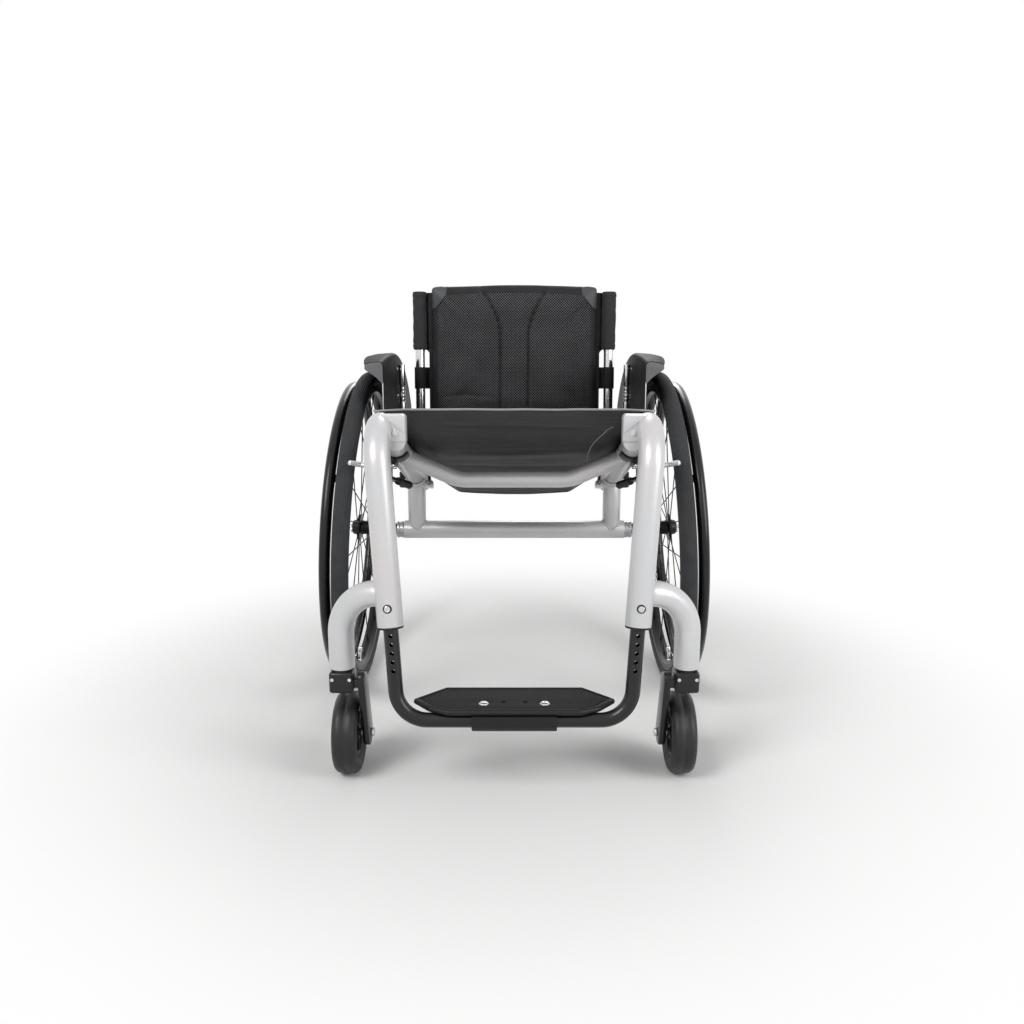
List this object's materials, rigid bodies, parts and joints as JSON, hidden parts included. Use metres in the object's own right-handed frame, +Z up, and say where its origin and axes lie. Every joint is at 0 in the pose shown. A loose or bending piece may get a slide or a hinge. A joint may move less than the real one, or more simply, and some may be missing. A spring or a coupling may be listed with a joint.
{
  "type": "manual wheelchair",
  "caption": "Rigid-frame manual wheelchair with cambered push wheels, swivelling casters, sling seat, fold-down upholstered back, wheel locks and a one-piece footrest.",
  "frame": {"origin": "on the floor, below the middle of the chair's box", "axes": "+Z up, -Y the way the chair faces, +X to the sitter's left; in metres, the largest length along Y"},
  "size_m": [0.674, 0.8204, 0.7567],
  "materials": {
    "silver_frame_paint": "satin pearl powder coat",
    "machined_aluminium": "turned",
    "black_coating": "gloss powder coat",
    "black_anodised": "black anodised, satin",
    "black_spokes": "satin",
    "bright_steel": "polished",
    "black_plastic": "moulded",
    "guard_panel": "smooth",
    "grey_tyre": "ribbed",
    "caster_rubber": "matte",
    "black_nylon": "tight weave",
    "black_spacer_mesh": "open mesh over foam"
  },
  "bodies": {
    "frame": {"crossbar": "silver_frame_paint", "axle_tube": "silver_frame_paint", "footrest_loop": "black_coating", "seat_sling": "black_nylon", "side_tube_left": "silver_frame_paint", "caster_arm_left": "silver_frame_paint", "knee_gusset_left": "silver_frame_paint", "axle_sleeve_left": "machined_aluminium", "rail_saddle_left": "silver_frame_paint", "strut_left": "silver_frame_paint", "hinge_bracket_left": "black_anodised", "tube_bush_left": "black_plastic", "side_guard_left": "guard_panel", "guard_post_left": "black_anodised", "lock_bracket_left": "black_anodised", "side_tube_right": "silver_frame_paint", "caster_arm_right": "silver_frame_paint", "knee_gusset_right": "silver_frame_paint", "axle_sleeve_right": "machined_aluminium", "rail_saddle_right": "silver_frame_paint", "strut_right": "silver_frame_paint", "hinge_bracket_right": "black_anodised", "tube_bush_right": "black_plastic", "side_guard_right": "guard_panel", "guard_post_right": "black_anodised", "lock_bracket_right": "black_anodised"},
    "footplate": {"footplate": "black_plastic", "footplate_clamp": "black_plastic"},
    "back": {"back_upholstery": "black_nylon", "back_strap_upper": "black_nylon", "back_strap_lower": "black_nylon", "back_pad": "black_spacer_mesh", "back_cane_left": "bright_steel", "back_cane_right": "bright_steel"},
    "axle_pin_left": {"axle_pin_left": "bright_steel"},
    "axle_button_left": {"axle_button_left": "bright_steel"},
    "wheel_left": {"tyre_left": "grey_tyre", "rim_left": "black_anodised", "hub_and_spokes_left": "black_spokes", "handrim_left": "black_anodised"},
    "fork_left": {"caster_fork_left": "black_coating", "caster_bolt_left": "bright_steel"},
    "caster_left": {"caster_hub_left": "black_plastic", "caster_tyre_left": "caster_rubber"},
    "lock_bar_left": {"lock_bar_left": "bright_steel"},
    "lock_lever_left": {"lock_lever_left": "black_anodised"},
    "axle_pin_right": {"axle_pin_right": "bright_steel"},
    "axle_button_right": {"axle_button_right": "bright_steel"},
    "wheel_right": {"tyre_right": "grey_tyre", "rim_right": "black_anodised", "hub_and_spokes_right": "black_spokes", "handrim_right": "black_anodised"},
    "fork_right": {"caster_fork_right": "black_coating", "caster_bolt_right": "bright_steel"},
    "caster_right": {"caster_hub_right": "black_plastic", "caster_tyre_right": "caster_rubber"},
    "lock_bar_right": {"lock_bar_right": "bright_steel"},
    "lock_lever_right": {"lock_lever_right": "black_anodised"}
  },
  "joints": [
    {"name": "footplate_tilt", "type": "hinge", "parent": "frame", "child": "footplate", "pos_m": [0, -0.39444, 0.125], "axis": [1, 0, 0], "range_deg": [-10, 20]},
    {"name": "back_fold", "type": "hinge", "parent": "frame", "child": "back", "pos_m": [0, 0.20261, 0.40945], "axis": [1, 0, 0], "range_deg": [0, 70]},
    {"name": "axle_pin_slide_left", "type": "slide", "parent": "frame", "child": "axle_pin_left", "axis": [0.9986, 0, 0.0523], "range_m": [0, 0.1]},
    {"name": "axle_button_press_left", "type": "slide", "parent": "axle_pin_left", "child": "axle_button_left", "axis": [-0.9986, 0, -0.0523], "range_m": [0, 0.005], "stiffness_N_per_m": 400},
    {"name": "wheel_spin_left", "type": "hinge", "parent": "axle_pin_left", "child": "wheel_left", "pos_m": [0.2855, 0.11274, 0.29711], "axis": [0.9986, 0, 0.0523], "continuous": true},
    {"name": "caster_steer_left", "type": "hinge", "parent": "frame", "child": "fork_left", "pos_m": [0.2555, -0.33626, 0.184], "axis": [0, 0, 1], "continuous": true},
    {"name": "caster_spin_left", "type": "hinge", "parent": "fork_left", "child": "caster_left", "pos_m": [0.2555, -0.29626, 0.0625], "axis": [1, 0, 0], "continuous": true},
    {"name": "lock_lever_turn_left", "type": "hinge", "parent": "frame", "child": "lock_lever_left", "pos_m": [0.219, -0.12097, 0.43732], "axis": [0, 0.342, 0.9397], "range_deg": [-40, 0]},
    {"name": "lock_bar_turn_left", "type": "hinge", "parent": "frame", "child": "lock_bar_left", "pos_m": [0.219, -0.14694, 0.45369], "axis": [0, 0.342, 0.9397], "range_deg": [0, 45.1]},
    {"name": "axle_pin_slide_right", "type": "slide", "parent": "frame", "child": "axle_pin_right", "axis": [-0.9986, 0, 0.0523], "range_m": [0, 0.1]},
    {"name": "axle_button_press_right", "type": "slide", "parent": "axle_pin_right", "child": "axle_button_right", "axis": [0.9986, 0, -0.0523], "range_m": [0, 0.005], "stiffness_N_per_m": 400},
    {"name": "wheel_spin_right", "type": "hinge", "parent": "axle_pin_right", "child": "wheel_right", "pos_m": [-0.2855, 0.11274, 0.29711], "axis": [-0.9986, 0, 0.0523], "continuous": true},
    {"name": "caster_steer_right", "type": "hinge", "parent": "frame", "child": "fork_right", "pos_m": [-0.2555, -0.33626, 0.184], "axis": [0, 0, 1], "continuous": true},
    {"name": "caster_spin_right", "type": "hinge", "parent": "fork_right", "child": "caster_right", "pos_m": [-0.2555, -0.29626, 0.0625], "axis": [1, 0, 0], "continuous": true},
    {"name": "lock_lever_turn_right", "type": "hinge", "parent": "frame", "child": "lock_lever_right", "pos_m": [-0.219, -0.12097, 0.43732], "axis": [0, 0.342, 0.9397], "range_deg": [0, 40]},
    {"name": "lock_bar_turn_right", "type": "hinge", "parent": "frame", "child": "lock_bar_right", "pos_m": [-0.219, -0.14694, 0.45369], "axis": [0, 0.342, 0.9397], "range_deg": [-45.1, 0]}
  ],
  "couplings": [
    {"joint": "lock_bar_turn_left", "follows": "lock_lever_turn_left", "ratio": -1.126},
    {"joint": "lock_bar_turn_right", "follows": "lock_lever_turn_right", "ratio": -1.126}
  ]
}
